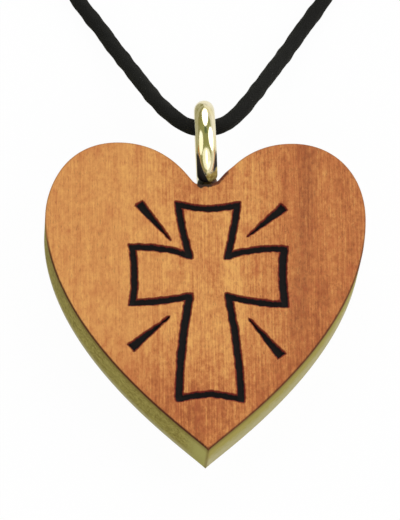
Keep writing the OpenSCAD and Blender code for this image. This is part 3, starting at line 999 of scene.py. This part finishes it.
def brassFinish(length):
    f = Finish("brassWire")
    tones = {name: tint(*tone) for name, tone in eyeTones.items()}
    place = f.node("UVMap", {"uv_map": "surface"})
    split = f.node("SeparateXYZ", {}, {0: place})
    along = Tone(f, split.socket.node.outputs[1])
    drawn = f.cloud(f.stretched(place, (26.0, 0.5, 1.0)), 1.0, 3, 0.6)
    ownPlace = f.node("TexCoord", {}, {}, output=3)
    tarnish = f.cloud(ownPlace, 420, 3, 0.6)
    crumbs = f.cloud(ownPlace, 1500, 3, 0.7)
    sideways = f.node("Attribute", {"attribute_name": "sideways"}, {}, output=2)
    colour = f.blend(f.step(tarnish, 0.35, 0.7), tones["bright"], tones["dull"])
    # torn where the wire was cut off
    torn = f.step(along + (crumbs - 0.5) * 1.2 + sideways * 0.2, length - 1.1, length - 0.8)
    tornTone = f.blend(f.step(crumbs, 0.35, 0.65), tones["torn"], tones["tornBright"])
    cutTone = f.blend(f.step(crumbs, 0.4, 0.6), tones["cut"], tones["cutBright"])
    tornTone = f.blend(f.step(along, length - 0.07, length - 0.02), tornTone, cutTone)
    colour = f.blend(torn, colour, tornTone)
    # painted reflection: dark on both sides towards the wood, most on the left, standing in for dark
    # surroundings mirrored in the metal
    low = f.calc("MAXIMUM", along - (length - 2.9), 0.0)
    started = f.step(low, 0.05, 0.6)
    leftEdge = -0.82 + 0.08 * low + 0.095 * low * low
    left = (1 - f.step(sideways - leftEdge + (crumbs - 0.5) * 0.12, -0.04, 0.04)) * started
    rightEdge = 0.92 - 0.2 * low
    right = f.step(sideways - rightEdge, -0.03, 0.05) * started * (1 - torn)
    # painted shade in the wire's first bend, by the wood, with bits of brass showing through it
    paintedBendShade = 1 - f.step(along + (crumbs - 0.5) * 1.2, 10.6, 11.8)
    bits = f.step(crumbs, 0.46, 0.56) * (1 - f.step(f.calc("ABSOLUTE", sideways), 0.3, 0.5))
    reflectionAndShadeTone = f.blend(f.step(sideways + crumbs, 0.3, 0.8) * paintedBendShade, tones["paintedReflectionAndShade"], tones["paintedBendShade"])
    reflectionAndShadeTone = f.blend(bits * paintedBendShade, reflectionAndShadeTone, tones["bits"])
    # painted reflection on the flanks and painted shade in the bend, both made dull and dark
    paintedReflectionAndShade = f.calc("MAXIMUM", f.calc("MAXIMUM", left, right), paintedBendShade)
    colour = f.blend(paintedReflectionAndShade, colour, reflectionAndShadeTone)
    bump = f.node("Bump", {}, {
        "Strength": 0.12, "Distance": 0.00004, "Height": (drawn * 0.5 + tarnish) * (1 + torn * 6),
    })
    return f.close(f.node("BsdfPrincipled", {}, {
        "Base Color": colour, "Metallic": f.calc("MINIMUM", 1 - torn * 0.8, 1 - paintedReflectionAndShade),
        "Roughness": 0.1 + drawn * 0.06 + f.calc("MAXIMUM", torn, paintedReflectionAndShade) * 0.5,
        "Normal": bump,
    }))


points, faces, corners, sideways = eyeMesh()
wireLength = max(along for around, along in corners)
screwEye = newPiece("screwEye", points, faces, brassFinish(wireLength))
addSurfacePlaces(screwEye, corners)
addValues(screwEye.data, "sideways", sideways)
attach(screwEye, "root")
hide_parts("screw_eye")
print("screw eye made")


# Floor and light
studio = {
    # metres: the floor's width, how high its sides turn up and how far out, and how far it
    # lies under the object
    "floorSize": 3.0, "floorRise": 0.9, "floorSpread": 1.3, "floorDrop": 0.00002,
    "floorTint": (250, 250, 250),
    # how much of the floor is plain white to the camera, and glowing in reflections
    "floorWhite": 0.965, "floorInGloss": 0.68,
    # its colours in reflections, the second on the left, and where the left begins
    "floorWarm": (255, 251, 233), "floorDim": (150, 145, 76), "dimFrom": (0.002, 0.0045),
    "sky": (0.2, 0.2, 0.2), "skyInGloss": (0.3, 0.31, 0.11),
    # place, width and depth in metres, and colour of the dark part of the ceiling
    "ceiling": ((0, 0.42, 1.2), (0.55, 0.5), (92, 106, 66)),
    # direction in degrees to the right of the back and above the table, distance, width and
    # height in metres, and brightness
    "lamps": {
        "backBox": (0, 35, 0.8, 0.7, 0.85, 2.2),
        "rightBox": (83, 33, 0.8, 0.65, 0.85, 2.0),
        "frontBox": (180, 35, 0.8, 1.6, 0.85, 0.8),
        "frontCore": (180, 40, 0.78, 0.32, 0.5, 1.6),
        "leftBox": (-95, 31, 0.8, 0.65, 0.8, 1.0),
    },
}


def addFloor():
    # the floor turns up at its sides
    f = Finish("paleFloor")
    spread = f.node("BsdfDiffuse", {}, {"Color": tint(*studio["floorTint"])})
    outputs = f.node("LightPath").socket.node.outputs
    toCamera, mirrored, through = (
        Tone(f, outputs[name]) for name in ("Is Camera Ray", "Is Glossy Ray", "Is Transmission Ray")
    )
    gloss = f.calc("MAXIMUM", mirrored, through)
    place = f.node("TexCoord", {}, {}, output=3)
    grain = f.cloud(place, 90, 3)
    direct = toCamera * studio["floorWhite"] + gloss * (studio["floorInGloss"] + grain * 0.05)
    # the room is dimmer on the left, as the metal shows
    onLeft = f.step(0.0 - f.node("SeparateXYZ", {}, {0: place}), *studio["dimFrom"])
    shown = f.blend(onLeft, tint(*studio["floorWarm"]), tint(*studio["floorDim"]))
    shown = f.blend(toCamera, shown, (1, 1, 1, 1))
    glow = f.node("Emission", {}, {"Color": shown, "Strength": 1.0})
    mixed = f.node("MixShader", {}, {0: direct, 1: spread, 2: glow})
    half, rise = studio["floorSize"] / 2 / mm, studio["floorRise"] / mm
    out = half * studio["floorSpread"]
    square = ((-1, -1), (1, -1), (1, 1), (-1, 1))
    points = [(x * half, y * half, 0) for x, y in square]
    points += [(x * out, y * out, rise) for x, y in square]
    faces = [(0, 1, 2, 3)] + [(k, k + 4, (k + 1) % 4 + 4, (k + 1) % 4) for k in range(4)]
    floor = newPiece("paleFloor", points, faces, f.close(mixed), smooth=False)
    floor.location.z = -studio["floorDrop"]


def addCeiling():
    place, (width, depth), tone = studio["ceiling"]
    f = Finish("darkCeiling")
    glow = f.node("Emission", {}, {"Color": tint(*tone), "Strength": 1.0})
    x, y = width / 2 / mm, depth / 2 / mm
    points = [(-x, -y, 0), (-x, y, 0), (x, y, 0), (x, -y, 0)]
    ceiling = newPiece("darkCeiling", points, [(0, 1, 2, 3)], f.close(glow), smooth=False)
    ceiling.location = place


def addLight():
    world = bpy.data.worlds.new("studioWorld")
    scene.world = world
    f = Finish("studioWorld", world)
    outputs = f.node("LightPath").socket.node.outputs
    mirrored, toCamera = Tone(f, outputs["Is Glossy Ray"]), Tone(f, outputs["Is Camera Ray"])
    colour = f.blend(mirrored, (*studio["sky"], 1), (*studio["skyInGloss"], 1))
    colour = f.blend(toCamera, colour, (1, 1, 1, 1))
    sky = f.node("Background", {}, {"Color": colour, "Strength": 1.0})
    f.node("OutputWorld", {}, {"Surface": sky})
    for name, (turn, rise, distance, width, height, brightness) in studio["lamps"].items():
        lamp = bpy.data.lights.new(name, "AREA")
        lamp.shape = "ELLIPSE"
        lamp.size = width
        lamp.size_y = height
        # as bright as a plain face of that value, whatever the lamp's area
        lamp.energy = brightness * math.pi * (math.pi / 4 * width * height)
        box = bpy.data.objects.new(name, lamp)
        turn, rise = math.radians(turn), math.radians(rise)
        place = distance * Vector((
            math.sin(turn) * math.cos(rise), math.cos(turn) * math.cos(rise), math.sin(rise)
        ))
        box.location = place
        box.rotation_mode = "QUATERNION"
        box.rotation_quaternion = place.to_track_quat("Z", "Y")
        scene.collection.objects.link(box)


addFloor()
addCeiling()
addLight()
print("floor and light in place")
